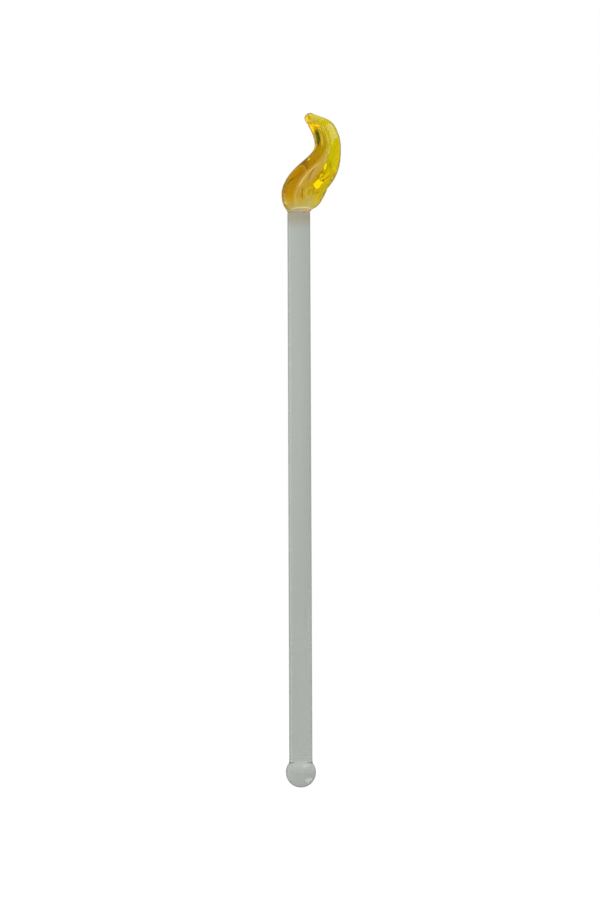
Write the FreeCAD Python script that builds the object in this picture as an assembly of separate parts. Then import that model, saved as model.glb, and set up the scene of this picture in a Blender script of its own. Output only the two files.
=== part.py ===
"""A lampworked glass swizzle stick: a plain glass rod, a ball at its stirring end and a curled flame on top.

Millimetres. +Z runs up the rod from the ball to the flame, and the origin is the lowest point of the ball,
on the rod's axis. The flame curls towards +X and lies broadside to -Y. It is made of five strips of coloured
glass, laid round a core and twisted together. Each strip is a solid, and meets its neighbours face to face.
"""

import FreeCAD
import Part

import math
import os
from collections import namedtuple

Vector = FreeCAD.Vector

# Driving dimensions
BALL_RADIUS = 4.6
NECK_FILLET = 2.0
ROD_RADIUS_LOW = 3.53
ROD_RADIUS_HIGH = 3.46
ROD_START = 9.8
ROD_END = 175.0
ROD_EDGE_ROUND = 0.25
WELD_RADIUS = 3.62
CORE_SHARE = 0.28
TIP_HEIGHT = 0.95

# The flame's outline, with heights measured up from the rod's end. Each station is one cross-section, an
# ellipse whose broad axis runs from the inner edge to the outer edge of the curl. Forward is the section's
# shift towards -Y, and valley is how deep its seams are cut, as a share of its radius.
Station = namedtuple("Station", "inner_x inner_z outer_x outer_z half_depth forward valley")
FLAME = (
    Station(-3.60, 0.60, 3.85, 0.80, 3.65, 0.0, 0.00),
    Station(-4.65, 2.10, 6.10, 2.30, 4.60, 0.0, 0.03),
    Station(-5.30, 4.60, 7.70, 4.70, 5.30, 0.0, 0.07),
    Station(-5.15, 7.20, 9.25, 7.20, 5.50, 0.1, 0.09),
    Station(-3.85, 10.20, 10.90, 9.90, 5.30, 0.3, 0.10),
    Station(-1.50, 13.20, 12.15, 12.70, 4.95, 0.5, 0.10),
    Station(1.50, 15.85, 12.80, 15.90, 4.50, 0.5, 0.10),
    Station(4.10, 18.50, 12.95, 18.90, 4.05, 0.3, 0.10),
    Station(4.75, 21.20, 12.70, 22.20, 3.70, 0.0, 0.10),
    Station(3.95, 24.10, 11.65, 25.30, 3.30, -0.3, 0.09),
    Station(2.95, 26.20, 9.80, 27.80, 2.75, -0.5, 0.07),
    Station(2.15, 27.70, 7.10, 29.10, 2.15, -0.6, 0.04),
    Station(1.85, 28.60, 4.65, 30.00, 1.57, -0.6, 0.00),
)

# The seams between the strips, as angles round the section at these shares of the way up. An angle of 0 is at
# the outer edge of the curl, -90 faces -Y and 180 is at the inner edge.
SEAM_SHARES = (0.0, 1 / 6, 1 / 3, 1 / 2, 3 / 4, 1.0)
SEAMS = (
    (-105, -110, -110, -95, -95, -95),
    (-65, -65, -75, -75, -85, -80),
    (-50, -35, 35, 70, 100, 110),
    (60, 85, 105, 120, 130, 140),
    (145, 150, 150, 150, 160, 170),
)
# Each strip lies between its seam and the next one round.
STRIPS = ("honey_rib", "lemon_lobe", "belly_lobe", "gold_back_lobe", "amber_lobe")
VALLEY_POWER = 4
SAMPLES_ACROSS = 9


def revolved(profile):
    """A solid of revolution about the rod's axis, from a closed profile of edges in the XZ plane."""
    face = Part.Face(Part.Wire(Part.__sortEdges__(profile)))
    return face.revolve(Vector(0, 0, 0), Vector(0, 0, 1), 360)


def line(start, end):
    return Part.LineSegment(start, end).toShape()


def arc(start, middle, end):
    return Part.Arc(start, middle, end).toShape()


def ball_end():
    """The gathered ball with a filleted neck, up to the plane where the rod begins."""
    fillet_x = ROD_RADIUS_LOW + NECK_FILLET
    reach = BALL_RADIUS + NECK_FILLET
    ball_centre = Vector(0, 0, BALL_RADIUS)
    fillet_centre = Vector(fillet_x, 0, BALL_RADIUS + math.sqrt(reach**2 - fillet_x**2))
    towards_fillet = (fillet_centre - ball_centre).normalize()
    touch = ball_centre + towards_fillet * BALL_RADIUS
    neck = Vector(ROD_RADIUS_LOW, 0, fillet_centre.z)
    towards_axis = ((touch - fillet_centre).normalize() + Vector(-1, 0, 0)).normalize()
    bottom = Vector(0, 0, 0)
    top = Vector(0, 0, ROD_START)
    shoulder = Vector(ROD_RADIUS_LOW, 0, ROD_START)
    return revolved(
        [
            arc(bottom, Vector(BALL_RADIUS, 0, BALL_RADIUS), touch),
            arc(touch, fillet_centre + towards_axis * NECK_FILLET, neck),
            line(neck, shoulder),
            line(shoulder, top),
            line(top, bottom),
        ]
    )


def stirring_rod():
    """The drawn rod. It thins a little towards the flame, where its edge is fire-rounded."""
    low = Vector(ROD_RADIUS_LOW, 0, ROD_START)
    high = Vector(ROD_RADIUS_HIGH, 0, ROD_END - ROD_EDGE_ROUND)
    rounded = Vector(ROD_RADIUS_HIGH - ROD_EDGE_ROUND, 0, ROD_END)
    bend = ROD_EDGE_ROUND * (1 - math.sqrt(0.5))
    middle = Vector(ROD_RADIUS_HIGH - bend, 0, ROD_END - bend)
    top = Vector(0, 0, ROD_END)
    bottom = Vector(0, 0, ROD_START)
    return revolved(
        [
            line(low, high),
            arc(high, middle, rounded),
            line(rounded, top),
            line(top, bottom),
            line(bottom, low),
        ]
    )


def seam_angle(seam, share):
    """The angle of a seam at a share of the flame's height, in degrees."""
    angles = SEAMS[seam % len(SEAMS)]
    for low, high, start, end in zip(SEAM_SHARES, SEAM_SHARES[1:], angles, angles[1:]):
        if share <= high:
            return start + (end - start) * (share - low) / (high - low)
    return angles[-1]


def strip_angles(strip, share):
    """The angles from one seam to the next, evenly spaced, in degrees."""
    start = seam_angle(strip, share)
    end = seam_angle(strip + 1, share)
    if end < start:
        end += 360
    return [start + (end - start) * i / (SAMPLES_ACROSS - 1) for i in range(SAMPLES_ACROSS)]


def section_point(station, angle, scale):
    """A point of a section's ellipse, shrunk towards its centre by scale."""
    inner = Vector(station.inner_x, 0, station.inner_z)
    outer = Vector(station.outer_x, 0, station.outer_z)
    centre = (inner + outer) * 0.5 + Vector(0, -station.forward, ROD_END)
    broad = (outer - inner) * (0.5 * scale * math.cos(math.radians(angle)))
    deep = Vector(0, station.half_depth * scale * math.sin(math.radians(angle)), 0)
    return centre + broad + deep


def skin_scale(station, across):
    """How far out the skin lies: full in the middle of a strip, and cut in at its two seams."""
    return 1 - station.valley * ((1 - across) ** VALLEY_POWER + across**VALLEY_POWER)


def even(count):
    """Evenly spaced numbers from 0 to 1."""
    return [i / (count - 1) for i in range(count)]


def curve_through(points, parameters):
    """A smooth spline through points, which it reaches at the given parameters."""
    curve = Part.BSplineCurve()
    curve.interpolate(Points=points, Parameters=parameters)
    return curve


def surface_through(rows):
    """A spline surface through rows of points. Its edge rows alone fix its edges, which neighbours share."""
    along = [curve_through(row, even(len(row))) for row in rows]
    columns = zip(*[curve.getPoles() for curve in along])
    across = [curve_through(list(column), even(len(rows))) for column in columns]
    surface = Part.BSplineSurface()
    surface.buildFromPolesMultsKnots(
        [list(row) for row in zip(*[curve.getPoles() for curve in across])],
        across[0].getMultiplicities(),
        along[0].getMultiplicities(),
        across[0].getKnots(),
        along[0].getKnots(),
        False,
        False,
        across[0].Degree,
        along[0].Degree,
    )
    return surface


def ruled_surface(start, end):
    """The straight-lined surface between two curves that share their knots."""
    surface = Part.BSplineSurface()
    surface.buildFromPolesMultsKnots(
        [start.getPoles(), end.getPoles()],
        (2, 2),
        start.getMultiplicities(),
        (0.0, 1.0),
        start.getKnots(),
        False,
        False,
        1,
        start.Degree,
    )
    return surface


def strip_surface(stations, strip, shares, scale_at):
    """The surface over one strip, where scale_at gives the radius share at a station and a place across."""
    rows = []
    for i, across in enumerate(even(SAMPLES_ACROSS)):
        rows.append(
            [
                section_point(station, strip_angles(strip, share)[i], scale_at(station, across))
                for station, share in zip(stations, shares)
            ]
        )
    return surface_through(rows)


def closed_solid(faces):
    """One outward-facing solid from faces that meet edge to edge."""
    shell = Part.makeShell(faces)
    shell.sewShape()
    solid = Part.makeSolid(shell)
    if solid.Volume < 0:
        solid.reverse()
    return solid


def flat_face(edges):
    return Part.Face(Part.Wire(Part.__sortEdges__(edges)))


def strip_end(skin, bed, end):
    """The flat face that closes a strip at one end, bounded by its skin, its bed and its two seams."""
    edges = [skin.vIso(end).toShape(), bed.vIso(end).toShape()]
    for side in (0.0, 1.0):
        edges.append(line(skin.value(side, end), bed.value(side, end)))
    return flat_face(edges)


def strip_solid(strip):
    """One coloured strip: its skin, its bed on the core, the two seams and the two ends."""
    shares = even(len(FLAME))
    skin = strip_surface(FLAME, strip, shares, skin_scale)
    bed = strip_surface(FLAME, strip, shares, lambda station, across: CORE_SHARE)
    faces = [skin.toShape(), bed.toShape()]
    for side in (0.0, 1.0):
        faces.append(ruled_surface(skin.uIso(side), bed.uIso(side)).toShape())
    for end in (0.0, 1.0):
        faces.append(strip_end(skin, bed, end))
    return closed_solid(faces)


def sleeve_solid(stations, shares, scale_at):
    """A solid whose side is the strips' surfaces joined right round, with a flat face at each end."""
    sides = [strip_surface(stations, strip, shares, scale_at) for strip in range(len(STRIPS))]
    faces = [side.toShape() for side in sides]
    for end in (0.0, 1.0):
        faces.append(flat_face([side.vIso(end).toShape() for side in sides]))
    return closed_solid(faces)


def flame_core():
    """The clear core that the strips are laid on."""
    return sleeve_solid(FLAME, even(len(FLAME)), lambda station, across: CORE_SHARE)


def joint_weld():
    """The bead of glass that joins the flame to the rod. Its upper face leans, as the flame's foot does."""
    foot = FLAME[0]
    seat_radius = ROD_RADIUS_HIGH - ROD_EDGE_ROUND
    seat = Station(-seat_radius, 0, seat_radius, 0, seat_radius, 0, 0)
    middle = Station(-WELD_RADIUS, foot.inner_z / 2, WELD_RADIUS, foot.outer_z / 2, WELD_RADIUS, 0, 0)
    return sleeve_solid((seat, middle, foot), (0, 0, 0), lambda station, across: 1.0)


def flame_tip():
    """The small fire-rounded dome that closes the end of the flame."""
    last = FLAME[-1]
    inner = section_point(last, 180, 1.0)
    outer = section_point(last, 0, 1.0)
    centre = (inner + outer) * 0.5
    across = (outer - inner).normalize()
    outwards = Vector(-across.z, 0, across.x)
    radius = last.half_depth
    sphere_radius = (radius**2 + TIP_HEIGHT**2) / (2 * TIP_HEIGHT)
    sphere_centre = centre + outwards * (TIP_HEIGHT - sphere_radius)
    ball = Part.makeSphere(sphere_radius, sphere_centre)
    cutter = Part.makeCylinder(2 * sphere_radius, 2 * sphere_radius, centre, outwards)
    return ball.common(cutter).Solids[0]


def main():
    os.makedirs("parts", exist_ok=True)
    nodes = {
        "ball_end": ball_end(),
        "stirring_rod": stirring_rod(),
        "joint_weld": joint_weld(),
        "flame_core": flame_core(),
        "flame_tip": flame_tip(),
    }
    for strip, name in enumerate(STRIPS):
        nodes[name] = strip_solid(strip)
    for name, shape in nodes.items():
        shape.exportStep(f"parts/{name}.step")
        print(name, "valid" if shape.isValid() else "NOT VALID", f"{shape.Volume:.2f} mm3", shape.ShapeType)


main()
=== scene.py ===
"""Looks of a lampworked glass swizzle stick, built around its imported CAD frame.

The glass is drawn in millimetres, in the frame's axes, and becomes metres when a mesh is made. The studio
is in metres. The glass is fused, so light bends only where a piece meets the air: every face where two
pieces meet has a second material, which lets light straight through. Pieces stand a hair apart, so that a
ray leaves one before it enters the next.
"""

import math
from collections import namedtuple

import bpy
import numpy as np
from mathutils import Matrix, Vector

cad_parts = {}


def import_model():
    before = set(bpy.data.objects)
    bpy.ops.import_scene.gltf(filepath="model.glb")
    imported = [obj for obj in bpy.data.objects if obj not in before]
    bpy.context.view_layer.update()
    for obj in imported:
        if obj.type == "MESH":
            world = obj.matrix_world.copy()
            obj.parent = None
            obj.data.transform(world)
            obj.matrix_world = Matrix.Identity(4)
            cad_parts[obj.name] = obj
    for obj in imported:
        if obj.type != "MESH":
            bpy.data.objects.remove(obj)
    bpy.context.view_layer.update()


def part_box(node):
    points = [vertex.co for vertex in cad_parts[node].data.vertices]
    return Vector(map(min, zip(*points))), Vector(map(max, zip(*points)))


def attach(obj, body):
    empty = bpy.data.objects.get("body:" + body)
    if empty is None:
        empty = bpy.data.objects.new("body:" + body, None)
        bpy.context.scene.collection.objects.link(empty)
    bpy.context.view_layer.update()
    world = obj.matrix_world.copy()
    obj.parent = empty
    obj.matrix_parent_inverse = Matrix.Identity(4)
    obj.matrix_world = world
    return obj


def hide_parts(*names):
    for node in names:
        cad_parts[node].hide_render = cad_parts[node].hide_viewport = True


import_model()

MM = 0.001
BODY = "root"
GAP = 0.01

# Dimensions read from the frame


def corners(node):
    """The lowest and highest corner of a CAD node, in millimetres."""
    return [np.array(corner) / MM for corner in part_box(node)]


BALL_LOW, BALL_HIGH = corners("ball_end")
ROD_LOW, ROD_HIGH = corners("stirring_rod")
BALL_RADIUS = (BALL_HIGH[0] - BALL_LOW[0]) / 2
ROD_RADIUS_LOW = (ROD_HIGH[0] - ROD_LOW[0]) / 2
ROD_START = ROD_LOW[2]
ROD_END = ROD_HIGH[2]

# Dimensions shared with the CAD part
NECK_FILLET = 2.0
ROD_RADIUS_HIGH = 3.46
ROD_EDGE_ROUND = 0.25
WELD_RADIUS = 3.62
CORE_SHARE = 0.28
TIP_HEIGHT = 0.95
VALLEY_POWER = 4

# The flame's cross-sections, with heights measured up from the rod's end.
Station = namedtuple("Station", "inner_x inner_z outer_x outer_z half_depth forward valley")
FLAME = (
    Station(-3.60, 0.60, 3.85, 0.80, 3.65, 0.0, 0.00),
    Station(-4.65, 2.10, 6.10, 2.30, 4.60, 0.0, 0.03),
    Station(-5.30, 4.60, 7.70, 4.70, 5.30, 0.0, 0.07),
    Station(-5.15, 7.20, 9.25, 7.20, 5.50, 0.1, 0.09),
    Station(-3.85, 10.20, 10.90, 9.90, 5.30, 0.3, 0.10),
    Station(-1.50, 13.20, 12.15, 12.70, 4.95, 0.5, 0.10),
    Station(1.50, 15.85, 12.80, 15.90, 4.50, 0.5, 0.10),
    Station(4.10, 18.50, 12.95, 18.90, 4.05, 0.3, 0.10),
    Station(4.75, 21.20, 12.70, 22.20, 3.70, 0.0, 0.10),
    Station(3.95, 24.10, 11.65, 25.30, 3.30, -0.3, 0.09),
    Station(2.95, 26.20, 9.80, 27.80, 2.75, -0.5, 0.07),
    Station(2.15, 27.70, 7.10, 29.10, 2.15, -0.6, 0.04),
    Station(1.85, 28.60, 4.65, 30.00, 1.57, -0.6, 0.00),
)
SEAM_SHARES = (0.0, 1 / 6, 1 / 3, 1 / 2, 3 / 4, 1.0)
SEAMS = (
    (-105, -110, -110, -95, -95, -95),
    (-65, -65, -75, -75, -85, -80),
    (-50, -35, 35, 70, 100, 110),
    (60, 85, 105, 120, 130, 140),
    (145, 150, 150, 150, 160, 170),
)
STRIPS = ("honey_rib", "lemon_lobe", "belly_lobe", "gold_back_lobe", "amber_lobe")

# The glass. A streak's turn and length are worked out as if every strip were STREAK_WIDTH wide.
FLAME_LENGTH = 36.0
STREAK_WIDTH = 8.0
GLASS_INDEX = 1.5
GLASS_TINT = (1.06, 1.07, 0.75)
# How brightly the painted glints glow, as painted light.
PAINTED_GLINT_GLOW = 0.3
STRIP_ROUGHNESS = 0.07
STRIP_TRANSMISSION = 0.6
ROD_ROUGHNESS = 0.12
WELD_ROUGHNESS = 0.1
WELD_TRANSMISSION = 0.4
CORE_TINT = (1.0, 0.85, 0.4, 1)
CORE_DENSITY = 60
NOISE_RANGE = (0.3, 0.7)

# Fine threads along a strip: how often across and along it, how much they shade, and their relief
THREADS_ACROSS = 12
THREADS_ALONG = 3
THREAD_SHADE = 0.07
THREAD_RELIEF = 0.015

# Faint drawn lines on the rod: how many to a metre round and along it, their shade and their relief
LINES_ROUND = 900
LINES_ALONG = 15
LINE_SHADE = 0.02
LINE_RELIEF = 0.004

# The rod has a painted reflection of the amber above between two depths below its end, and painted shade,
# darker low down, between two heights.
AMBER_REFLECTION_FROM = 6
AMBER_REFLECTION_FULL = 1
SHADE_HEIGHTS = (20, 120)
SHADES = (0.9, 0.98)

# The beads in the weld: how many to a metre, the noise values at their edge, and how far out they start
BEADS = (700, 700, 1400)
BEAD_EDGE = (0.45, 0.6)
BEAD_START = 1.6
BEAD_FULL = 2.8

# The arch of cream glass over the joint
ARCH_TOP = 1.25
ARCH_MIDDLE = 1.3
ARCH_BEND = 0.05
ARCH_HALF_WIDTH = 0.35
ARCH_CORE = 0.1

# The flame's foot: heights above the arch between which it turns pale, and between which it turns tan
PALE_FOOT = (3.5, 0.2)
PALE_FOOT_SHARE = 0.7
TAN_FOOT = (0.1, -0.2)

# The studio
CAMERA_LENS = 120
CAMERA_SENSOR = 36
CAMERA_PLACE = (0.0001, -0.912, 0.10285)
CAMERA_ROLL = 0.218
TABLE_HALF = 6.0
TABLE_HEIGHT = -0.30
TABLE_GLOW = 0.35
BOUNCES = 32
GLOSSY_BOUNCES = 16
FLAME_PLACE = (0.007, 0, 0.19)
BALL_PLACE = (0, 0, 0.005)
ROD_PLACE = (0, 0, 0)
SIDE_LIGHT = 0.08

# How bright reflections see the surround in front and behind, and how far each side of the middle it changes
MIRRORED_FRONT = 0.05
MIRRORED_BACK = 0.2
MIRRORED_TURN = 0.5

# How finely the meshes are divided
ROWS_ALONG = 150
STEPS_ACROSS = 30
STEPS_ROUND = 128
ROD_ROWS = 60
EDGE_STEPS = 8
BALL_STEPS = 90
NECK_STEPS = 16
WELD_ROWS = 13
DOME_ROWS = 24
SHARP_ANGLE = 40

# The ball and the dome stop just short of their poles, where a tiny cap closes them.
BALL_LOWEST_ANGLE = -89.7
DOME_LAST_ANGLE = 1


# Meshes


def smooth_curve(values):
    """A function of a share from 0 to 1 that runs smoothly through evenly spaced values."""
    values = np.array(values, float)
    last = len(values) - 1
    bend = np.eye(last + 1)
    pull = np.zeros_like(values)
    for i in range(1, last):
        bend[i, i - 1 : i + 2] = (1, 4, 1)
        pull[i] = 6 * (values[i - 1] - 2 * values[i] + values[i + 1])
    curvature = np.linalg.solve(bend, pull)

    def at(share):
        """The value at a share."""
        place = np.clip(np.asarray(share, float), 0, 1) * last
        low = np.minimum(place.astype(int), last - 1)
        after = place - low
        before = 1 - after
        straight = before * values[low] + after * values[low + 1]
        bent = (before**3 - before) * curvature[low] + (after**3 - after) * curvature[low + 1]
        return straight + bent / 6

    return at


def seam_curve(seam):
    """The angle of a seam along the flame, in degrees."""
    shares = [i / (len(FLAME) - 1) for i in range(len(FLAME))]
    return smooth_curve(np.interp(shares, SEAM_SHARES, SEAMS[seam % len(SEAMS)]))


OUTLINE = Station(*[smooth_curve(column) for column in zip(*FLAME)])
SEAM_CURVES = [seam_curve(seam) for seam in range(len(SEAMS))]


def flame_points(share, angle, scale):
    """Points of the flame: share is how far up, angle how far round in degrees, scale 1 the outline."""
    share, angle, scale = np.broadcast_arrays(share, np.radians(angle), scale)
    inner_x, inner_z = OUTLINE.inner_x(share), OUTLINE.inner_z(share)
    outer_x, outer_z = OUTLINE.outer_x(share), OUTLINE.outer_z(share)
    broad = scale * np.cos(angle)
    x = (inner_x + outer_x) / 2 + broad * (outer_x - inner_x) / 2
    y = -OUTLINE.forward(share) + scale * np.sin(angle) * OUTLINE.half_depth(share)
    z = (inner_z + outer_z) / 2 + broad * (outer_z - inner_z) / 2 + ROD_END
    return np.stack([x, y, z], axis=-1)


def make_piece(name, points, faces, fused, flow):
    """A mesh piece on the root body. fused is 1 for each face that meets another piece, and 0 elsewhere.

    flow has a vector for each point: how far across and along its strip, as shares, and the strip's width
    in millimetres.
    """
    mesh = bpy.data.meshes.new(name)
    mesh.from_pydata((np.asarray(points) * MM).tolist(), [], faces)
    attribute = mesh.attributes.new("flow", "FLOAT_VECTOR", "POINT")
    attribute.data.foreach_set("vector", np.asarray(flow, np.float32).ravel())
    mesh.polygons.foreach_set("use_smooth", [True] * len(mesh.polygons))
    mesh.set_sharp_from_angle(angle=math.radians(SHARP_ANGLE))
    mesh.polygons.foreach_set("material_index", fused)
    piece = bpy.data.objects.new(name, mesh)
    bpy.context.scene.collection.objects.link(piece)
    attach(piece, BODY)
    return piece


def grid_faces(rows, columns, first=0, flip=False, closed=False):
    """Quads over a grid of points numbered row by row."""
    faces = []
    for row in range(rows - 1):
        for column in range(columns if closed else columns - 1):
            a = first + row * columns + column
            b = first + row * columns + (column + 1) % columns
            quad = (a, b, b + columns, a + columns)
            faces.append(quad[::-1] if flip else quad)
    return faces


def strip_piece(strip):
    """One coloured strip: a fine skin over a bed on the core, closed by two seams and two ends."""
    share = np.linspace(0, 1, ROWS_ALONG)[:, None]
    across = np.linspace(0, 1, STEPS_ACROSS)[None, :]
    start = SEAM_CURVES[strip](share)
    end = SEAM_CURVES[(strip + 1) % len(SEAMS)](share)
    end = np.where(end < start, end + 360, end)
    hair = np.degrees(GAP / (OUTLINE.half_depth(share) * CORE_SHARE))
    angle = start + hair + (end - start - 2 * hair) * across
    cut = OUTLINE.valley(share) * ((1 - across) ** VALLEY_POWER + across**VALLEY_POWER)
    skin = flame_points(share, angle, 1 - cut)
    bed = flame_points(share, angle, CORE_SHARE + GAP / OUTLINE.half_depth(share))
    points = np.concatenate([skin.reshape(-1, 3), bed.reshape(-1, 3)])
    below = skin.size // 3
    skin_faces = grid_faces(ROWS_ALONG, STEPS_ACROSS)
    inner_faces = grid_faces(ROWS_ALONG, STEPS_ACROSS, below, flip=True)
    for row in range(ROWS_ALONG - 1):
        a = row * STEPS_ACROSS
        b = a + STEPS_ACROSS
        inner_faces.append((a, b, b + below, a + below))
        c = a + STEPS_ACROSS - 1
        d = c + STEPS_ACROSS
        inner_faces.append((c, c + below, d + below, d))
    top = (ROWS_ALONG - 1) * STEPS_ACROSS
    for column in range(STEPS_ACROSS - 1):
        inner_faces.append((column + 1, column, column + below, column + 1 + below))
        inner_faces.append((top + column, top + column + 1, top + column + 1 + below, top + column + below))
    fused = [0] * len(skin_faces) + [1] * len(inner_faces)
    flow = np.empty((2, ROWS_ALONG, STEPS_ACROSS, 3))
    flow[..., 0] = across
    flow[..., 1] = share
    flow[..., 2] = np.linalg.norm(np.diff(skin, axis=1), axis=-1).sum(axis=1)[:, None]
    faces = skin_faces + inner_faces
    return make_piece(STRIPS[strip] + "_glass", points, faces, fused, flow.reshape(-1, 3))


def tube_piece(name, rings, side, caps=(1, 1)):
    """A closed sleeve through rings, with a flat cap at each end. side and caps say what is fused."""
    rings = np.asarray(rings)
    rows, columns = rings.shape[:2]
    faces = grid_faces(rows, columns, closed=True)
    fused = [side] * len(faces) + list(caps)
    faces.append(tuple(range(columns))[::-1])
    faces.append(tuple(range((rows - 1) * columns, rows * columns)))
    flow = np.empty((rows, columns, 3))
    flow[..., 0] = np.linspace(0, 1, columns, endpoint=False)[None, :]
    flow[..., 1] = np.linspace(0, 1, rows)[:, None]
    flow[..., 2] = np.linalg.norm(rings[:, 0] - rings[:, columns // 2], axis=-1)[:, None] * math.pi
    return make_piece(name, rings.reshape(-1, 3), faces, fused, flow.reshape(-1, 3))


def turned_rings(profile):
    """Rings of points round the rod's axis, one for each (radius, height) of a profile."""
    turn = np.linspace(0, 2 * math.pi, STEPS_ROUND, endpoint=False)
    return [
        np.stack([radius * np.cos(turn), radius * np.sin(turn), np.full_like(turn, height)], axis=-1)
        for radius, height in profile
    ]


def arc(centre, radius, start, end, steps):
    """Points (radius, height) along an arc in a profile, with its angles in degrees."""
    angles = np.radians(np.linspace(start, end, steps))
    return [(centre[0] + radius * math.cos(a), centre[1] + radius * math.sin(a)) for a in angles]


def rod_piece():
    """The rod, a slight taper with its top edge rounded."""
    straight = np.linspace(0, 1, ROD_ROWS)
    height = ROD_START + GAP + straight * (ROD_END - ROD_EDGE_ROUND - ROD_START - GAP)
    radius = ROD_RADIUS_LOW + straight * (ROD_RADIUS_HIGH - ROD_RADIUS_LOW)
    corner = (ROD_RADIUS_HIGH - ROD_EDGE_ROUND, ROD_END - ROD_EDGE_ROUND)
    profile = list(zip(radius, height)) + arc(corner, ROD_EDGE_ROUND, 0, 90, EDGE_STEPS)[1:]
    return tube_piece("stirring_rod_glass", turned_rings(profile), 0)


def ball_piece():
    """The ball, and the fillet of its neck up to where the rod starts."""
    fillet_x = ROD_RADIUS_LOW + NECK_FILLET
    reach = BALL_RADIUS + NECK_FILLET
    rise = math.sqrt(reach**2 - fillet_x**2)
    tilt = math.degrees(math.atan2(rise, fillet_x))
    ball = arc((0, BALL_RADIUS), BALL_RADIUS, BALL_LOWEST_ANGLE, tilt, BALL_STEPS)
    neck = arc((fillet_x, BALL_RADIUS + rise), NECK_FILLET, 180 + tilt, 180, NECK_STEPS)[1:]
    profile = ball + neck + [(ROD_RADIUS_LOW, ROD_START)]
    return tube_piece("ball_end_glass", turned_rings(profile), 0, caps=(0, 1))


def flame_ring(share, scale):
    """A ring of points round the flame."""
    turn = np.linspace(0, 360, STEPS_ROUND, endpoint=False)
    return flame_points(share, turn, scale)


def weld_piece():
    """The bead of glass between the rod and the flame's foot."""
    foot = flame_ring(0, 1) - (0, 0, GAP)
    seat_radius = ROD_RADIUS_HIGH - ROD_EDGE_ROUND
    seat = turned_rings([(seat_radius, ROD_END + GAP)])[0]
    bulge = WELD_RADIUS - (seat_radius + np.hypot(foot[:, 0], foot[:, 1])) / 2
    rings = []
    for rise in np.linspace(0, 1, WELD_ROWS):
        ring = seat + (foot - seat) * rise
        radius = np.hypot(ring[:, 0], ring[:, 1])
        swell = bulge * 4 * rise * (1 - rise)
        ring[:, :2] *= ((radius + swell) / radius)[:, None]
        rings.append(ring)
    return tube_piece("joint_weld_glass", rings, 0)


def core_piece():
    """The core, the flame's shape made smaller, and fused all over."""
    rings = [flame_ring(share, CORE_SHARE) for share in np.linspace(0, 1, ROWS_ALONG)]
    return tube_piece("flame_core_glass", rings, 1)


def tip_piece():
    """The fire-rounded dome on the flame's end, from a hair above the strips to where the CAD ends."""
    last = FLAME[-1]
    inner, outer = flame_points(1, [180, 0], 1)
    middle = (inner + outer) / 2
    across = (outer - inner) / np.linalg.norm(outer - inner)
    outwards = np.array([-across[2], 0, across[0]])
    radius = last.half_depth
    height = TIP_HEIGHT - GAP
    dome_radius = (radius**2 + height**2) / (2 * height)
    edge_angle = math.degrees(math.asin(radius / dome_radius))
    centre = middle + outwards * (TIP_HEIGHT - dome_radius)
    turn = np.linspace(0, 2 * math.pi, STEPS_ROUND, endpoint=False)
    spokes = np.outer(np.cos(turn), across) + np.outer(np.sin(turn), (0, 1, 0))
    rings = []
    for angle in np.radians(np.linspace(edge_angle, DOME_LAST_ANGLE, DOME_ROWS)):
        hub = centre + outwards * dome_radius * math.cos(angle)
        rings.append(hub + dome_radius * math.sin(angle) * spokes)
    return tube_piece("flame_tip_glass", rings, 0, caps=(1, 0))


# Materials


def srgb(red, green, blue):
    """A linear colour, from the 0 to 255 values of a colour picker."""
    shares = [value / 255 for value in (red, green, blue)]
    return tuple(s / 12.92 if s <= 0.04045 else ((s + 0.055) / 1.055) ** 2.4 for s in shares)


class Nodes:
    """A tree of shader nodes in the making. Where a method takes a value, a node's output will do."""

    def __init__(self, tree):
        self.tree = tree

    def add(self, kind, values=None, **settings):
        """A new node, with its settings and the values of its sockets."""
        node = self.tree.nodes.new("ShaderNode" + kind)
        for name, value in settings.items():
            setattr(node, name, value)
        for name, value in (values or {}).items():
            self.put(value, node.inputs[name])
        return node

    def put(self, value, socket):
        """Set a socket, or link it when the value is another node's output."""
        if isinstance(value, bpy.types.NodeSocket):
            self.tree.links.new(value, socket)
        else:
            socket.default_value = value

    def scaled(self, value, from_low, from_high, to_low=0.0, to_high=1.0, kind="LINEAR"):
        """value moved from one range to another, and held inside it."""
        numbers = {"From Min": from_low, "From Max": from_high, "To Min": to_low, "To Max": to_high}
        return self.add("MapRange", {"Value": value, **numbers}, interpolation_type=kind).outputs["Result"]

    def between(self, share, first, second):
        """The number that lies a share of the way from one number to another."""
        return self.add("Mix", {"Factor": share, "A": first, "B": second}).outputs["Result"]

    def mixed(self, share, first, second):
        """Two colours mixed by share."""
        colours = [(*colour, 1) if isinstance(colour, tuple) else colour for colour in (first, second)]
        node = self.add("MixRGB", {"Fac": share, "Color1": colours[0], "Color2": colours[1]})
        return node.outputs["Color"]

    def number(self, operation, first, second=0.0):
        """The result of an operation on one or two numbers."""
        return self.add("Math", {0: first, 1: second}, operation=operation).outputs["Value"]

    def vector(self, operation, first, second=(0, 0, 0)):
        """The result of an operation on one or two vectors."""
        node = self.add("VectorMath", {0: first, 1: second}, operation=operation)
        return node.outputs["Value" if operation == "LENGTH" else "Vector"]

    def parts(self, vector):
        """The three components of a vector."""
        return self.add("SeparateXYZ", {"Vector": vector}).outputs

    def ramp(self, place, stops):
        """A colour that changes with place, through (place, colour) stops."""
        node = self.add("ValToRGB", {"Fac": place})
        elements = node.color_ramp.elements
        while len(elements) < len(stops):
            elements.new(0.5)
        for element, (position, colour) in zip(elements, stops):
            element.position = position
            element.color = (*srgb(*colour), 1)
        return node.outputs["Color"]

    def noise(self, place, detail=2.0):
        """A smooth random value that changes with place."""
        return self.add("TexNoise", {"Vector": place, "Scale": 1.0, "Detail": detail}).outputs[0]

    def shaded(self, colour, factor):
        """A colour made darker or lighter by a factor."""
        grey = self.add("CombineXYZ", {"X": factor, "Y": factor, "Z": factor}).outputs["Vector"]
        return self.vector("MULTIPLY", colour, grey)


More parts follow.
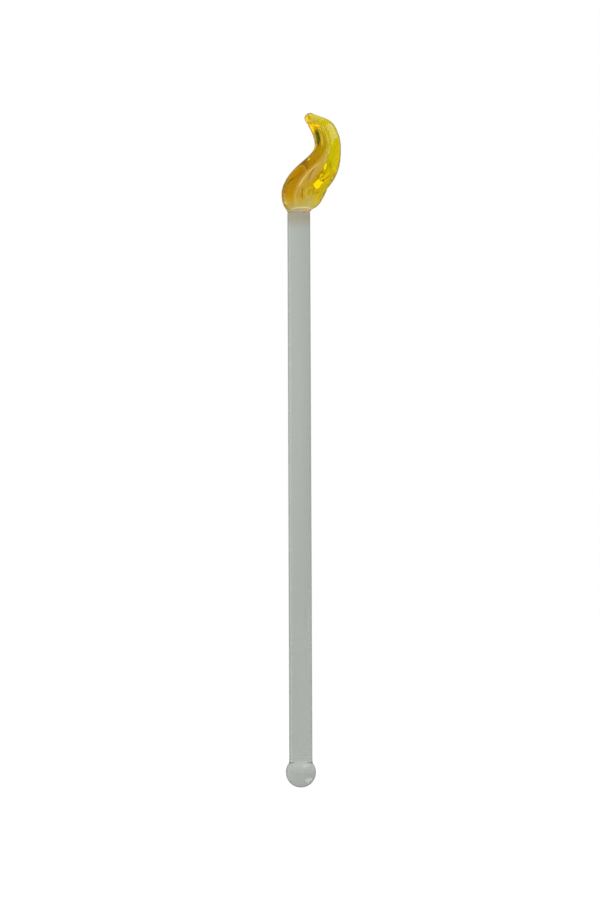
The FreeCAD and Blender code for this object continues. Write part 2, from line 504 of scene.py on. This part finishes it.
class Shader(Nodes):
    """A glass material in the making."""

    def __init__(self, name, roughness, transmission):
        self.material = bpy.data.materials.new(name)
        self.material.use_nodes = True
        super().__init__(self.material.node_tree)
        self.surface = self.tree.nodes["Principled BSDF"]
        self.surface.inputs["Transmission Weight"].default_value = transmission
        self.surface.inputs["Roughness"].default_value = roughness
        self.surface.inputs["IOR"].default_value = GLASS_INDEX
        self.flow = self.add("Attribute", attribute_name="flow").outputs["Vector"]

    def rippled(self, height, distance):
        """A gentle unevenness of the surface, up to distance millimetres high."""
        bump = self.add("Bump", {"Height": height, "Distance": distance * MM, "Strength": 1.0})
        self.put(bump.outputs["Normal"], self.surface.inputs["Normal"])

    def finish(self, colour):
        """The material, with its colour put in."""
        self.put(colour, self.surface.inputs["Base Color"])
        return self.material


# The colours of the strips
# The next four colours are painted shade.
PAINTED_SOOT_SHADE = (60, 65, 20)
PAINTED_OLIVE_SHADE = (95, 90, 15)
PAINTED_BROWN_SHADE = (120, 80, 5)
PAINTED_SMOKY_SHADE = (120, 110, 20)
DEEP_AMBER = (160, 100, 0)
AMBER = (175, 125, 0)
LIGHT_AMBER = (190, 150, 5)
HONEY = (190, 150, 110)
ROSE = (205, 155, 130)
MILKY_HONEY = (210, 175, 120)
PAINTED_PEACH_HIGHLIGHT = (235, 205, 170)
LIME = (190, 170, 5)
LEMON = (200, 185, 0)
BRIGHT_LEMON = (235, 205, 0)
PALE_LEMON = (200, 185, 70)
STRAW = (185, 180, 150)
# Tan glass, and in its streaks a painted sheen of reflected light.
TAN_AND_PAINTED_SHEEN = (215, 185, 80)
FOOT_TAN = (185, 165, 135)
CREAM = (215, 215, 215)
BACK_AMBER = (235, 185, 10)
BACK_LEMON = (225, 210, 10)

# The plain glass of the rod and the weld
ROD_GREY = (180, 185, 180)
PAINTED_AMBER_REFLECTION = (170, 165, 145)
WELD_TAN = (185, 175, 150)
BEAD_ORANGE = (240, 180, 90)

# The glints are painted highlights, and they glow a little as painted light.
PAINTED_SUN_GLINT = (255, 210, 0)
PAINTED_GOLD_GLINT = (250, 180, 0)
PAINTED_GLINTS = (PAINTED_SUN_GLINT, PAINTED_GOLD_GLINT)

# Colours that run along a strip, at a share of its width: (share of the flame's height, colour) stops.
Lane = namedtuple("Lane", "across stops")

# A soft-edged streak of colour in a strip. Its two ends are (across, along) shares, its half width is in
# millimetres, and softness is the share of its half width over which it fades.
Streak = namedtuple("Streak", "start end half_width softness colour")


def with_foot(shader, colour):
    """A strip's colour with its foot: paler low down, and tan under an arch of cream glass."""
    place = shader.vector("MULTIPLY", shader.add("TexCoord").outputs["Object"], (1 / MM, 1 / MM, 1 / MM))
    x, _, z = shader.parts(place)
    from_middle = shader.number("SUBTRACT", x, ARCH_MIDDLE)
    drop = shader.number("MULTIPLY", shader.number("MULTIPLY", from_middle, from_middle), ARCH_BEND)
    above = shader.number("ADD", shader.number("SUBTRACT", z, ROD_END + ARCH_TOP), drop)
    paleness = shader.scaled(above, *PALE_FOOT, 0.0, PALE_FOOT_SHARE)
    colour = shader.mixed(paleness, colour, srgb(*STRAW))
    colour = shader.mixed(shader.scaled(above, *TAN_FOOT), colour, srgb(*FOOT_TAN))
    line = shader.number("ABSOLUTE", above)
    return shader.mixed(shader.scaled(line, ARCH_HALF_WIDTH, ARCH_CORE), colour, srgb(*CREAM))


def strip_glass(name, lanes, streaks, seed):
    """Glass of one strip: lanes blended across it, threads drawn out along it, its streaks and its foot."""
    shader = Shader(name, STRIP_ROUGHNESS, STRIP_TRANSMISSION)
    across, along, width = shader.parts(shader.flow)
    colour = shader.ramp(along, lanes[0].stops)
    for lane, following in zip(lanes, lanes[1:]):
        share = shader.scaled(across, lane.across, following.across)
        colour = shader.mixed(share, colour, shader.ramp(along, following.stops))
    place = shader.vector("MULTIPLY_ADD", shader.flow, (THREADS_ACROSS, THREADS_ALONG, 0))
    shader.put((seed, seed, seed), place.node.inputs[2])
    threads = shader.noise(place, 3.0)
    shade = shader.scaled(threads, *NOISE_RANGE, 1 - THREAD_SHADE, 1 + THREAD_SHADE)
    colour = shader.shaded(colour, shade)
    shader.rippled(threads, THREAD_RELIEF)
    painted_glow = (0.0, 0.0, 0.0)
    size = shader.add("CombineXYZ", {"X": width, "Y": FLAME_LENGTH}).outputs["Vector"]
    for streak in streaks:
        start, end = np.array(streak.start), np.array(streak.end)
        middle = (start + end) / 2
        across_mm, along_mm = (end - start) * (STREAK_WIDTH, FLAME_LENGTH)
        reach = math.hypot(across_mm, along_mm) / 2 + streak.half_width
        turn = math.atan2(along_mm, across_mm) - math.pi / 2
        offset = shader.vector("MULTIPLY", shader.vector("SUBTRACT", shader.flow, (*middle, 0)), size)
        own_axes = {"Vector": offset, "Rotation": (0, 0, turn), "Scale": (streak.half_width, reach, 1)}
        local = shader.add("Mapping", own_axes, vector_type="TEXTURE").outputs["Vector"]
        away = shader.vector("LENGTH", local)
        share = shader.scaled(away, 1.0, 1.0 - streak.softness, kind="SMOOTHSTEP")
        colour = shader.mixed(share, colour, srgb(*streak.colour))
        # Painted glints also glow, as painted light.
        if streak.colour in PAINTED_GLINTS:
            painted_glow = shader.mixed(share, painted_glow, srgb(*streak.colour))
    if not isinstance(painted_glow, tuple):
        shader.put(painted_glow, shader.surface.inputs["Emission Color"])
        shader.surface.inputs["Emission Strength"].default_value = PAINTED_GLINT_GLOW
    colour = with_foot(shader, colour)
    return shader.finish(shader.vector("MULTIPLY", colour, GLASS_TINT))


def amber_glass():
    """Clear amber: a painted dark line of shade across its body, painted shade in the hollow of the curl,
    painted gold glints above that.
    """
    lanes = (
        Lane(0.0, ((0.1, BACK_AMBER), (1.0, BACK_AMBER))),
        # The sun-gold stops at the top are painted glints, and the smoky stop below them is painted shade.
        Lane(0.4, ((0.1, TAN_AND_PAINTED_SHEEN), (0.2, LIGHT_AMBER), (0.5, AMBER), (1.0, PAINTED_SUN_GLINT))),
        Lane(
            0.65,
            ((0.1, TAN_AND_PAINTED_SHEEN), (0.2, AMBER), (0.55, AMBER), (0.7, PAINTED_SMOKY_SHADE),
             (0.8, BACK_AMBER), (0.9, TAN_AND_PAINTED_SHEEN), (1.0, PAINTED_SUN_GLINT)),
        ),
        Lane(0.9, ((0.1, LIGHT_AMBER), (0.25, AMBER), (0.45, DEEP_AMBER), (0.7, LIGHT_AMBER), (1.0, TAN_AND_PAINTED_SHEEN))),
        Lane(1.0, ((0.1, TAN_AND_PAINTED_SHEEN), (0.35, HONEY), (0.6, LIGHT_AMBER), (1.0, TAN_AND_PAINTED_SHEEN))),
    )
    streaks = (
        # Painted shade: a dark line across the body.
        Streak((0.60, 0.28), (0.80, 0.34), 0.45, 0.5, PAINTED_OLIVE_SHADE),
        Streak((0.80, 0.34), (0.90, 0.38), 0.80, 0.8, DEEP_AMBER),
        Streak((0.50, 0.22), (0.52, 0.50), 0.50, 0.9, LIGHT_AMBER),
        Streak((0.64, 0.49), (0.66, 0.50), 0.32, 0.4, PAINTED_SUN_GLINT),
        # Painted shade: a dark speck beside a painted glint.
        Streak((0.72, 0.48), (0.73, 0.49), 0.26, 0.7, PAINTED_BROWN_SHADE),
        Streak((0.74, 0.23), (0.74, 0.23), 0.20, 0.6, TAN_AND_PAINTED_SHEEN),
        Streak((0.36, 0.58), (0.48, 0.64), 0.70, 0.5, PAINTED_GOLD_GLINT),
        Streak((0.58, 0.56), (0.68, 0.58), 0.28, 0.8, PAINTED_OLIVE_SHADE),
        # Painted shade in the hollow of the curl.
        Streak((0.63, 0.63), (0.69, 0.77), 0.85, 0.5, PAINTED_SOOT_SHADE),
        # Painted reflection: a tan streak of reflected light.
        Streak((0.82, 0.61), (0.83, 0.74), 0.50, 0.6, TAN_AND_PAINTED_SHEEN),
        Streak((0.96, 0.60), (0.96, 0.72), 0.35, 0.8, LIGHT_AMBER),
        Streak((0.52, 0.76), (0.52, 0.84), 0.60, 0.4, PAINTED_SUN_GLINT),
        Streak((0.60, 0.84), (0.90, 0.80), 0.65, 0.4, PAINTED_GOLD_GLINT),
        # Painted shade in the curl, among its painted glints.
        Streak((0.66, 0.87), (0.92, 0.87), 0.20, 0.6, PAINTED_SMOKY_SHADE),
        Streak((0.56, 0.93), (0.62, 1.00), 0.55, 0.5, PAINTED_SUN_GLINT),
        Streak((0.80, 0.94), (0.90, 0.99), 0.20, 0.7, PAINTED_SMOKY_SHADE),
    )
    return strip_glass("amber_glass", lanes, streaks, 3.1)


def honey_glass():
    """Milky honey glass, a painted highlight streak over its left shoulder, deep amber and rose lines beside
    that.
    """
    lanes = (
        Lane(
            0.0,
            ((0.1, TAN_AND_PAINTED_SHEEN), (0.2, HONEY), (0.35, MILKY_HONEY),
             (0.5, LIGHT_AMBER), (0.8, PALE_LEMON), (1.0, TAN_AND_PAINTED_SHEEN)),
        ),
        Lane(
            0.5,
            ((0.1, LIME), (0.2, LIGHT_AMBER), (0.4, HONEY),
             (0.5, MILKY_HONEY), (0.7, LIME), (1.0, TAN_AND_PAINTED_SHEEN)),
        ),
        Lane(
            1.0,
            ((0.1, STRAW), (0.2, LIGHT_AMBER), (0.4, LIGHT_AMBER),
             (0.6, LEMON), (0.8, LEMON), (1.0, TAN_AND_PAINTED_SHEEN)),
        ),
    )
    streaks = (
        Streak((0.10, 0.13), (0.06, 0.26), 0.60, 0.5, HONEY),
        # Painted highlight: the pale streak over the left shoulder.
        Streak((0.06, 0.25), (0.12, 0.37), 0.45, 0.5, PAINTED_PEACH_HIGHLIGHT),
        Streak((0.10, 0.38), (0.30, 0.47), 0.30, 0.6, PAINTED_PEACH_HIGHLIGHT),
        Streak((0.42, 0.13), (0.34, 0.27), 0.34, 0.6, DEEP_AMBER),
        Streak((0.48, 0.29), (0.36, 0.43), 0.24, 0.6, DEEP_AMBER),
        Streak((0.70, 0.30), (0.62, 0.44), 0.70, 0.7, ROSE),
        Streak((0.62, 0.17), (0.62, 0.26), 0.35, 0.8, STRAW),
        Streak((0.78, 0.24), (0.92, 0.25), 0.30, 0.6, BACK_AMBER),
        # Painted highlight along the ridge where the rib meets the lemon.
        Streak((1.00, 0.36), (1.00, 0.66), 0.18, 0.6, STRAW),
    )
    return strip_glass("honey_glass", lanes, streaks, 7.7)


def lemon_glass():
    """Clear lemon glass. Painted gold glints low on its left side have specks of painted shade between them.
    """
    lanes = (
        Lane(0.0, ((0.1, STRAW), (0.2, LIGHT_AMBER), (0.35, AMBER), (0.5, LEMON), (0.8, LEMON), (1.0, TAN_AND_PAINTED_SHEEN))),
        Lane(
            0.2,
            ((0.1, STRAW), (0.2, LIGHT_AMBER), (0.35, BRIGHT_LEMON),
             (0.45, LEMON), (0.85, LEMON), (1.0, PALE_LEMON)),
        ),
        Lane(0.35, ((0.1, TAN_AND_PAINTED_SHEEN), (0.2, LIME), (0.4, BRIGHT_LEMON), (0.65, LEMON), (1.0, PALE_LEMON))),
        Lane(0.5, ((0.1, LIME), (0.2, LIME), (0.4, LEMON), (0.75, LIME), (1.0, PALE_LEMON))),
        Lane(1.0, ((0.1, BACK_LEMON), (1.0, BACK_LEMON))),
    )
    streaks = (
        # Painted glints low on the left.
        Streak((0.05, 0.28), (0.19, 0.29), 0.80, 0.2, PAINTED_SUN_GLINT),
        Streak((0.09, 0.30), (0.15, 0.26), 0.95, 0.2, PAINTED_SUN_GLINT),
        Streak((0.09, 0.41), (0.02, 0.46), 0.36, 0.4, PAINTED_SUN_GLINT),
        Streak((0.07, 0.34), (0.09, 0.37), 0.24, 0.5, PAINTED_GOLD_GLINT),
        Streak((0.13, 0.32), (0.17, 0.35), 0.24, 0.5, PAINTED_GOLD_GLINT),
        Streak((0.10, 0.32), (0.11, 0.33), 0.22, 0.5, PALE_LEMON),
        # Painted shade: dark specks between the glints.
        Streak((0.05, 0.38), (0.06, 0.39), 0.20, 0.5, PAINTED_SOOT_SHADE),
        Streak((0.12, 0.37), (0.13, 0.38), 0.20, 0.5, PAINTED_OLIVE_SHADE),
        Streak((0.04, 0.34), (0.05, 0.35), 0.20, 0.5, PAINTED_OLIVE_SHADE),
        Streak((0.14, 0.34), (0.14, 0.35), 0.20, 0.5, PAINTED_OLIVE_SHADE),
        Streak((0.20, 0.31), (0.21, 0.32), 0.30, 0.5, PAINTED_SOOT_SHADE),
        Streak((0.13, 0.31), (0.14, 0.31), 0.24, 0.5, PAINTED_SOOT_SHADE),
        Streak((0.22, 0.32), (0.30, 0.37), 0.40, 0.8, AMBER),
        Streak((0.34, 0.19), (0.38, 0.21), 0.35, 0.8, AMBER),
        Streak((0.13, 0.21), (0.20, 0.23), 0.24, 0.6, MILKY_HONEY),
        Streak((0.16, 0.15), (0.34, 0.17), 0.30, 0.6, MILKY_HONEY),
        # Painted highlight along the ridge where the lemon meets the rib.
        Streak((0.00, 0.34), (0.00, 0.66), 0.20, 0.6, STRAW),
    )
    return strip_glass("lemon_glass", lanes, streaks, 1.3)


def belly_glass():
    """The lower right of the flame: lemon, duller low down and brighter behind."""
    lanes = (
        Lane(0.0, ((0.1, TAN_AND_PAINTED_SHEEN), (0.2, LIME), (0.4, LIME), (1.0, LEMON))),
        Lane(0.2, ((0.1, TAN_AND_PAINTED_SHEEN), (0.2, LIME), (1.0, LEMON))),
        Lane(1.0, ((0.1, BACK_LEMON), (1.0, BACK_LEMON))),
    )
    streaks = (Streak((0.06, 0.12), (0.02, 0.20), 0.4, 0.8, LEMON),)
    return strip_glass("belly_glass", lanes, streaks, 5.9)


def gold_glass():
    """The lobe behind: bright amber, with two lemon streaks."""
    lanes = (Lane(0.0, ((0.1, BACK_AMBER), (0.9, BACK_AMBER), (1.0, TAN_AND_PAINTED_SHEEN))),)
    streaks = (
        Streak((0.3, 0.15), (0.5, 0.45), 0.5, 0.9, BRIGHT_LEMON),
        Streak((0.6, 0.40), (0.6, 0.80), 0.4, 0.9, BACK_LEMON),
    )
    return strip_glass("gold_glass", lanes, streaks, 9.2)


def tip_glass():
    """The dome: its front left is a painted gold glint, and its crown and sides are painted pale, as a
    highlight from above.
    """
    lanes = (
        Lane(0.3, ((0.0, PALE_LEMON), (1.0, STRAW))),
        Lane(0.6, ((0.0, PAINTED_SUN_GLINT), (0.6, TAN_AND_PAINTED_SHEEN), (1.0, STRAW))),
        Lane(0.8, ((0.0, PALE_LEMON), (1.0, STRAW))),
    )
    # Painted shade: a small dark speck.
    streaks = (Streak((0.71, 0.0), (0.70, 0.02), 0.2, 0.6, PAINTED_SMOKY_SHADE),)
    return strip_glass("tip_glass", lanes, streaks, 2.4)


def clear_glass():
    """The rod and ball: pale grey with faint drawn lines, with a painted reflection of the amber above at
    the rod's top and painted shade low down.
    """
    shader = Shader("clear_glass", ROD_ROUGHNESS, 1.0)
    place = shader.add("TexCoord").outputs["Object"]
    height = shader.parts(place)[2]
    # Painted reflection of the amber flame at the rod's top.
    painted_amber_reflection = shader.scaled(height, (ROD_END - AMBER_REFLECTION_FROM) * MM, (ROD_END - AMBER_REFLECTION_FULL) * MM, kind="SMOOTHSTEP")
    colour = shader.mixed(painted_amber_reflection, srgb(*ROD_GREY), srgb(*PAINTED_AMBER_REFLECTION))
    lines = shader.noise(shader.vector("MULTIPLY", place, (LINES_ROUND, LINES_ROUND, LINES_ALONG)))
    colour = shader.shaded(colour, shader.scaled(lines, *NOISE_RANGE, 1 - LINE_SHADE, 1 + LINE_SHADE))
    # Painted shade: darker towards the bottom.
    low, high = SHADE_HEIGHTS
    colour = shader.shaded(colour, shader.scaled(height, low * MM, high * MM, *SHADES))
    shader.rippled(lines, LINE_RELIEF)
    return shader.finish(colour)


def weld_glass():
    """The weld: grey-tan like the rod's end, with orange beads of glass caught in it at both sides."""
    shader = Shader("cream_glass", WELD_ROUGHNESS, WELD_TRANSMISSION)
    place = shader.add("TexCoord").outputs["Object"]
    beads = shader.scaled(shader.noise(shader.vector("MULTIPLY", place, BEADS)), *BEAD_EDGE)
    side = shader.number("ABSOLUTE", shader.parts(place)[0])
    share = shader.number("MULTIPLY", beads, shader.scaled(side, BEAD_START * MM, BEAD_FULL * MM))
    return shader.finish(shader.mixed(share, srgb(*WELD_TAN), srgb(*BEAD_ORANGE)))


def joined_glass():
    """Where glass is fused to glass there is no surface to see, only light that goes straight on."""
    shader = Shader("joined_glass", 0.0, 1.0)
    shader.surface.inputs["Base Color"].default_value = (1, 1, 1, 1)
    shader.surface.inputs["IOR"].default_value = 1.0
    return shader


def core_glass():
    """The core, sealed in the flame. It deepens the colour of the light that crosses it."""
    shader = joined_glass()
    shader.material.name = "core_glass"
    depth = shader.add("VolumeAbsorption", {"Color": CORE_TINT, "Density": CORE_DENSITY})
    shader.put(depth.outputs["Volume"], shader.tree.nodes["Material Output"].inputs["Volume"])
    return shader.material


STRIP_LOOKS = {
    "honey_rib": (honey_glass(), "honey_glass"),
    "lemon_lobe": (lemon_glass(), "lemon_glass"),
    "belly_lobe": (belly_glass(), "lemon_glass"),
    "gold_back_lobe": (gold_glass(), "gold_glass"),
    "amber_lobe": (amber_glass(), "amber_glass"),
}

joined = joined_glass().material


def dress(piece, material, node):
    """Give a piece its glass, with light let through where it is fused, and put it in a CAD node's place."""
    piece.data.materials.append(material)
    piece.data.materials.append(material if node == "flame_core" else joined)
    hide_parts(node)


clear = clear_glass()
dress(rod_piece(), clear, "stirring_rod")
dress(ball_piece(), clear, "ball_end")
dress(weld_piece(), weld_glass(), "joint_weld")
dress(core_piece(), core_glass(), "flame_core")
dress(tip_piece(), tip_glass(), "flame_tip")
for strip, name in enumerate(STRIPS):
    material, slot = STRIP_LOOKS[name]
    dress(strip_piece(strip), material, name)


# Studio


def world():
    """A soft surround, white behind glass and a little brighter on the right.

    Reflections see a much darker one, darkest in front.
    """
    light = bpy.data.worlds.new("studio")
    light.use_nodes = True
    bpy.context.scene.world = light
    nodes = Nodes(light.node_tree)
    path = nodes.add("LightPath").outputs
    right, back, _ = nodes.parts(nodes.add("TexCoord").outputs["Generated"])
    bright = nodes.scaled(right, -1.0, 1.0, 1.0 - SIDE_LIGHT, 1.0 + SIDE_LIGHT)
    dark = nodes.scaled(back, -MIRRORED_TURN, MIRRORED_TURN, MIRRORED_FRONT, MIRRORED_BACK)
    not_mirrored = nodes.number("MAXIMUM", path["Is Transmission Ray"], path["Is Diffuse Ray"])
    on_the_glass = nodes.between(not_mirrored, dark, bright)
    strength = nodes.between(path["Is Camera Ray"], on_the_glass, 1.0)
    background = nodes.tree.nodes["Background"]
    background.inputs["Color"].default_value = (1, 1, 1, 1)
    nodes.put(strength, background.inputs["Strength"])


def softbox(name, aim, direction, distance, size, radiance):
    """A rectangular light that faces aim. It is mirrored, but isn't seen directly or through glass."""
    data = bpy.data.lights.new(name, "AREA")
    data.shape = "RECTANGLE"
    data.size, data.size_y = size
    data.energy = radiance * math.pi * size[0] * size[1]
    box = bpy.data.objects.new(name, data)
    bpy.context.scene.collection.objects.link(box)
    towards = Vector(direction).normalized()
    box.location = Vector(aim) + towards * distance
    box.rotation_euler = towards.to_track_quat("Z", "Y").to_euler()
    box.visible_camera = False
    box.visible_transmission = False


def camera():
    """Square on to the front, and rolled a little."""
    data = bpy.data.cameras.new("camera")
    data.lens = CAMERA_LENS
    data.sensor_width = CAMERA_SENSOR
    place = bpy.data.objects.new("camera", data)
    bpy.context.scene.collection.objects.link(place)
    place.location = CAMERA_PLACE
    place.rotation_euler = (math.pi / 2, math.radians(CAMERA_ROLL), 0)
    bpy.context.scene.camera = place


def floor():
    """A plain pale table, well below the stick, which hangs in the air as on a stand. It isn't mirrored."""
    signs = ((-1, -1), (1, -1), (1, 1), (-1, 1))
    points = [(x * TABLE_HALF, y * TABLE_HALF, TABLE_HEIGHT) for x, y in signs]
    mesh = bpy.data.meshes.new("floor")
    mesh.from_pydata(points, [], [(0, 1, 2, 3)])
    piece = bpy.data.objects.new("floor", mesh)
    bpy.context.scene.collection.objects.link(piece)
    material = bpy.data.materials.new("floor")
    material.use_nodes = True
    surface = material.node_tree.nodes["Principled BSDF"]
    surface.inputs["Base Color"].default_value = (0.8, 0.8, 0.8, 1)
    surface.inputs["Roughness"].default_value = 1.0
    surface.inputs["Emission Color"].default_value = (1, 1, 1, 1)
    surface.inputs["Emission Strength"].default_value = TABLE_GLOW
    mesh.materials.append(material)
    piece.visible_glossy = False


world()
softbox("window", FLAME_PLACE, (0.67, -0.31, 0.68), 0.6, (0.85, 0.28), 2.3)
softbox("left_strip", ROD_PLACE, (-0.95, 0.30, 0.0), 0.8, (0.10, 0.47), 2.2)
softbox("overhead", FLAME_PLACE, (0.0, 0.1, 1.0), 0.8, (0.5, 0.5), 1.2)
softbox("low_right", BALL_PLACE, (0.69, -0.04, -0.72), 0.12, (0.10, 0.06), 2.5)
camera()
floor()
scene = bpy.context.scene
scene.view_settings.view_transform = "Standard"
scene.cycles.max_bounces = BOUNCES
scene.cycles.transmission_bounces = BOUNCES
scene.cycles.glossy_bounces = GLOSSY_BOUNCES
